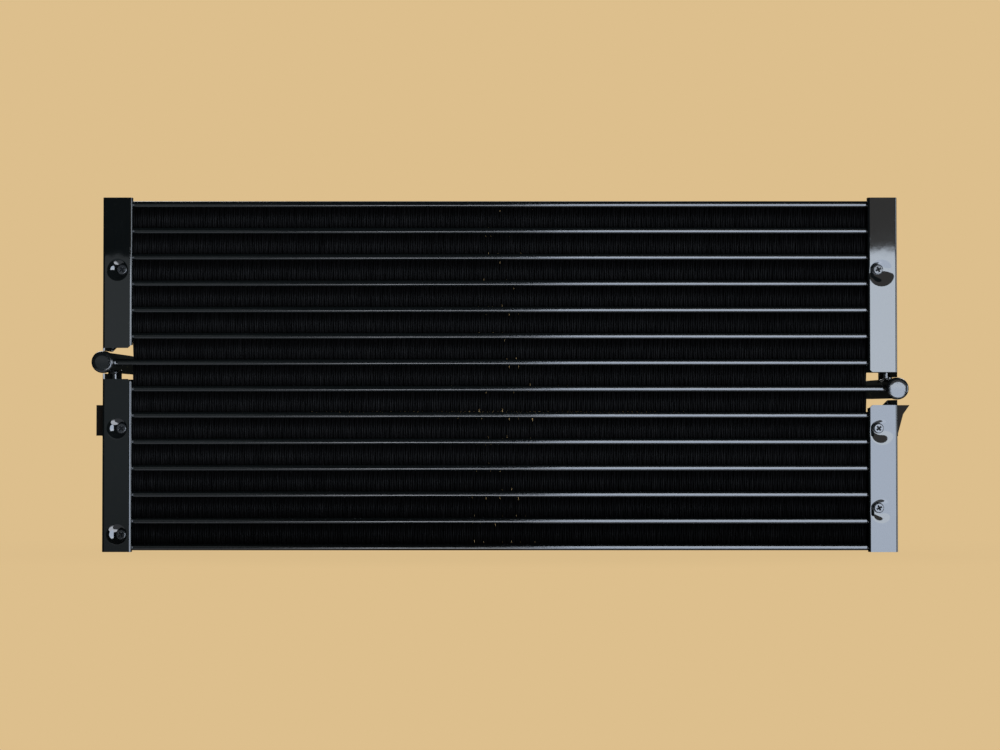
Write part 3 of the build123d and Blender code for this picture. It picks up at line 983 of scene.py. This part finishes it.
# %% [markdown]
# Each nut is a hexagon whose corners are cut by a cone at both ends, with a countersunk
# thread hole. It bears on the back flange.

# %% Nuts
nut_low, nut_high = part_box("bracket_nuts")
nut_front = nut_low[1]
nut_back = nut_high[1]
nut_half = 3.5 * mm
chamfer_slope = 0.58
nuts = []
for x, z in screw_spots:
    profile = [
        (2.1 * mm, nut_front + 0.4 * mm),
        (2.5 * mm, nut_front),
        (nut_half, nut_front),
        hexagon(nut_half, chamfer_slope, nut_front, 1),
        hexagon(nut_half, chamfer_slope, nut_back, -1),
        (nut_half, nut_back),
        (2.5 * mm, nut_back),
        (2.1 * mm, nut_back - 0.4 * mm),
    ]
    nuts.append(turned("nut", x, z, profile, 72, closed=True))
piece("hexagon_nuts", nuts, zinc, ["bracket_nuts"], crease=30)

# %% [markdown]
# The two port fittings at the back are turned from round bar of the header's own size, so no
# hexagon shows past the header from the front. Each has a collar brazed to the header, a
# relief groove and a long outside thread, and the bore opens with a flare for the pipe's
# seal. The helix makes the thread a true one.

# %% Port fittings
def fitting_mesh(name, header_name):
    low, high = [Vector(corner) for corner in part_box(name)]
    header_low, header_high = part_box(header_name)
    x = (header_low[0] + header_high[0]) / 2
    z = (header_low[2] + header_high[2]) / 2
    outer = (high.x - low.x) / 2
    bore = 4.75 * mm
    groove = 1.2 * mm
    seat = header_high[1]
    collar_end = seat + 3 * mm
    thread_start = collar_end + 2.5 * mm
    spigot = 6.3 * mm
    profile = [
        (bore, low.y),
        (spigot, low.y),
        (spigot, seat),
        (outer - 0.3 * mm, seat),
        (outer, seat + 0.3 * mm),
        (outer, collar_end - 0.4 * mm),
        (outer - 0.4 * mm, collar_end),
        (outer - groove, collar_end),
        (outer - groove, thread_start - 0.6 * mm),
    ]
    pitch = 1.5 * mm
    rows_a_turn = 8
    length = high.y - 0.9 * mm - thread_start
    for step in range(int(length / pitch * rows_a_turn) + 1):
        y = thread_start + step * pitch / rows_a_turn

        def thread(angle, y=y):
            phase = (y / pitch + angle / math.tau) % 1
            return outer - 0.85 * mm * abs(2 * phase - 1), y
        profile.append(thread)
    profile += [
        (outer - 1.0 * mm, high.y - 0.3 * mm),
        (outer - 1.4 * mm, high.y),
        (bore + 1.2 * mm, high.y),
        (bore + 0.2 * mm, high.y - 2.0 * mm),
        (bore, high.y - 2.4 * mm),
    ]
    return turned(name, x, z, profile, 72, closed=True)


inlet = fitting_mesh("inlet_fitting", "inlet_header")
outlet = fitting_mesh("outlet_fitting", "outlet_header")
piece("inlet_port", [inlet], fitting_black, ["inlet_fitting"], crease=32)
piece("outlet_port", [outlet], fitting_black, ["outlet_fitting"], crease=32)

# %% [markdown]
# A link pipe is a drawn tube with one slanted jog, bent rather than mitred. It is a circle
# carried along a line with two rounded corners. Braze rings fill the saddles at both ends.

# %% Link pipes
pipe_y = (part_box("left_link_pipe")[0][1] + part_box("left_link_pipe")[1][1]) / 2
pipe_radius = 5.5 * mm


def rounded_route(corners, radius, steps):
    """A planar line (x, z) whose inner corners are arcs."""
    route = [Vector(corners[0])]
    for before, corner, after in zip(corners, corners[1:], corners[2:]):
        corner = Vector(corner)
        first_way = (Vector(before) - corner).normalized()
        last_way = (Vector(after) - corner).normalized()
        half = first_way.angle(last_way) / 2
        cut = radius / math.tan(half)
        centre = corner + (first_way + last_way).normalized() * radius / math.sin(half)
        first = corner + first_way * cut - centre
        last = corner + last_way * cut - centre
        bend = first.angle_signed(last)
        for step in range(steps + 1):
            turn = Matrix.Rotation(-bend * step / steps, 2)
            route.append(centre + turn @ first)
    route.append(Vector(corners[-1]))
    return route


def swept_pipe(name, route, y, radius, segments=40):
    rows = []
    for index, spot in enumerate(route):
        before = route[max(0, index - 1)]
        after = route[min(len(route) - 1, index + 1)]
        way = (after - before).normalized()
        side_way = Vector((way.y, -way.x))
        row = []
        for step in range(segments):
            angle = 2 * math.pi * step / segments
            out = side_way * math.cos(angle) * radius
            row.append((spot.x + out.x, y + radius * math.sin(angle), spot.y + out.y))
        rows.append(row)
    return grid_mesh(name, rows)


def bead_mesh(name, x, z, y, z_way, tube_radius, pipe_radius, thickness):
    """A braze ring that follows the saddle where a pipe meets a round tube along Y."""
    rows = []
    around = 64
    small = 8
    for step in range(around + 1):
        angle = 2 * math.pi * step / around
        u = pipe_radius * math.cos(angle)
        v = pipe_radius * math.sin(angle)
        height = math.sqrt(max(0.0, (tube_radius + 0.1 * mm) ** 2 - u**2))
        centre = Vector((x + u, y + v, z + z_way * height))
        out = Vector((math.cos(angle), math.sin(angle), 0))
        up = Vector((0, 0, z_way))
        lump = 1 + 0.35 * noise.noise(centre * 500)
        row = []
        for ring in range(small):
            turn = 2 * math.pi * ring / small
            row.append(centre + (out * math.cos(turn) + up * math.sin(turn)) * thickness * lump)
        rows.append(row)
    return grid_mesh(name, rows, capped=False)


def link_meshes(side, header_z, end_z):
    way = math.copysign(1, end_z - header_z)
    header_x = 314.4 * mm
    end_x = 307.6 * mm
    jog_end = end_z - way * 26 * mm
    jog_begin = jog_end - way * 24 * mm
    start = header_z + way * 6.2 * mm
    end = end_z - way * 4.4 * mm
    corners = [(side * header_x, start), (side * header_x, jog_begin), (side * end_x, jog_end), (side * end_x, end)]
    pipe = swept_pipe("pipe", rounded_route(corners, 30 * mm, 10), pipe_y, pipe_radius)
    beads = [
        bead_mesh("bead", side * header_x, header_z, pipe_y, way, 7.9 * mm, pipe_radius, 0.9 * mm),
        bead_mesh("bead", side * end_x, end_z, pipe_y, -way, 5.8 * mm, 5.45 * mm, 0.8 * mm),
    ]
    return [pipe] + beads


lower_end_z = (end_tube_low[2] + end_tube_high[2]) / 2
upper_end_z = (up_low[2] + up_high[2]) / 2
left_link = link_meshes(-1, left_header_z, lower_end_z)
right_link = link_meshes(1, right_header_z, upper_end_z)
piece("left_link", left_link, pipe_black, ["left_link_pipe"], crease=60)
piece("right_link", right_link, pipe_black, ["right_link_pipe"], crease=60)

# %% [markdown]
# The headers, end tubes, plugs and mounting ears have the right shape already, so their CAD
# pieces stay and only get a finish.

# %% Finishes for the CAD pieces that stay
kept_finishes = {
    pipe_black: (
        "inlet_header", "outlet_header", "lower_end_tube", "upper_end_tube",
        "lower_front_plug", "lower_back_plug", "upper_front_plug", "upper_back_plug",
    ),
    # The ears' finish carries a painted reflection of the tan backdrop in its brownish tint.
    ear_finish_with_painted_reflection: ("left_mounting_ear", "right_mounting_ear"),
}
for finish, names in kept_finishes.items():
    for name in names:
        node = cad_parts[name]
        node.data.materials.clear()
        node.data.materials.append(finish)
        node.data.shade_smooth()
        node.data.set_sharp_from_angle(angle=math.radians(35))

# %% [markdown]
# The background of the photograph is one even tan with no horizon. The floor is a disc whose
# tone for the camera is that same tan, mixed near the object with lit paint, so that it
# carries the object's shadow and then fades into the world's colour. Everything that the
# gloss mirrors from the front of the room is a dim grey.

# %% Floor and world
tan_colour = (0.723, 0.521, 0.266, 1)
room_colour = (0.010, 0.011, 0.010, 1)


def seen_share(tree, outputs):
    """The most of the given Light Path outputs, as a socket."""
    path = tree.nodes.new("ShaderNodeLightPath")
    last = path.outputs[outputs[0]]
    for output in outputs[1:]:
        most = tree.nodes.new("ShaderNodeMath")
        most.operation = "MAXIMUM"
        tree.links.new(last, most.inputs[0])
        tree.links.new(path.outputs[output], most.inputs[1])
        last = most.outputs[0]
    return last


world = bpy.data.worlds.new("studio")
world.use_nodes = True
bpy.context.scene.world = world
world_nodes = world.node_tree.nodes
room = world_nodes["Background"]
room.inputs["Color"].default_value = room_colour
view = world_nodes.new("ShaderNodeBackground")
view.inputs["Color"].default_value = tan_colour
blend = world_nodes.new("ShaderNodeMixShader")
world_links = world.node_tree.links
world_links.new(seen_share(world.node_tree, ["Is Camera Ray", "Is Transmission Ray"]), blend.inputs[0])
world_links.new(room.outputs[0], blend.inputs[1])
world_links.new(view.outputs[0], blend.inputs[2])
world_links.new(blend.outputs[0], world_nodes["World Output"].inputs[0])

floor_radius = 0.62
floor_shape = 0.26
floor_rings = 12
floor_rows = []
for ring in range(floor_rings + 1):
    reach = max(1 * mm, floor_radius * ring / floor_rings)
    floor_rows.append([(
        reach * math.cos(math.tau * step / 64),
        core_middle + reach * floor_shape * math.sin(math.tau * step / 64),
        -0.4 * mm,
    ) for step in range(64)])
floor_mesh = grid_mesh("floor", floor_rows, capped=False)
floor_finish = Finish("floor_finish", Base_Color=tan_colour, Roughness=0.9, Specular_IOR_Level=0.1)
glow = floor_finish.tree.nodes.new("ShaderNodeEmission")
glow.inputs["Color"].default_value = tan_colour
round_scale = (1 / floor_radius, 1 / (floor_radius * floor_shape), 0)
middle = (0, -core_middle / (floor_radius * floor_shape), 0)
round_sockets = {"Vector": floor_finish.place, "Scale": round_scale, "Location": middle}
round_place = floor_finish.node("ShaderNodeMapping", {}, round_sockets)
fade = floor_finish.node("ShaderNodeVectorMath", {"operation": "LENGTH"}, {0: round_place}, "Value")
inner = floor_finish.ramp(fade, ((0.45, 0.05), (0.98, 0.0)))
floor_links = floor_finish.tree.links
plain = floor_finish.tree.nodes.new("ShaderNodeMixShader")
floor_links.new(inner.socket, plain.inputs[0])
floor_links.new(glow.outputs[0], plain.inputs[1])
floor_links.new(floor_finish.shader.outputs[0], plain.inputs[2])
choice = floor_finish.tree.nodes.new("ShaderNodeMixShader")
floor_links.new(seen_share(floor_finish.tree, ["Is Camera Ray", "Is Transmission Ray"]), choice.inputs[0])
floor_links.new(floor_finish.shader.outputs[0], choice.inputs[1])
floor_links.new(plain.outputs[0], choice.inputs[2])
mirrored = floor_finish.tree.nodes.new("ShaderNodeMixShader")
unseen = floor_finish.tree.nodes.new("ShaderNodeBsdfTransparent")
floor_links.new(seen_share(floor_finish.tree, ["Is Glossy Ray"]), mirrored.inputs[0])
floor_links.new(choice.outputs[0], mirrored.inputs[1])
floor_links.new(unseen.outputs[0], mirrored.inputs[2])
floor_links.new(mirrored.outputs[0], floor_finish.tree.nodes["Material Output"].inputs[0])
floor_mesh.materials.append(floor_finish.material)
floor = bpy.data.objects.new("floor", floor_mesh)
bpy.context.scene.collection.objects.link(floor)
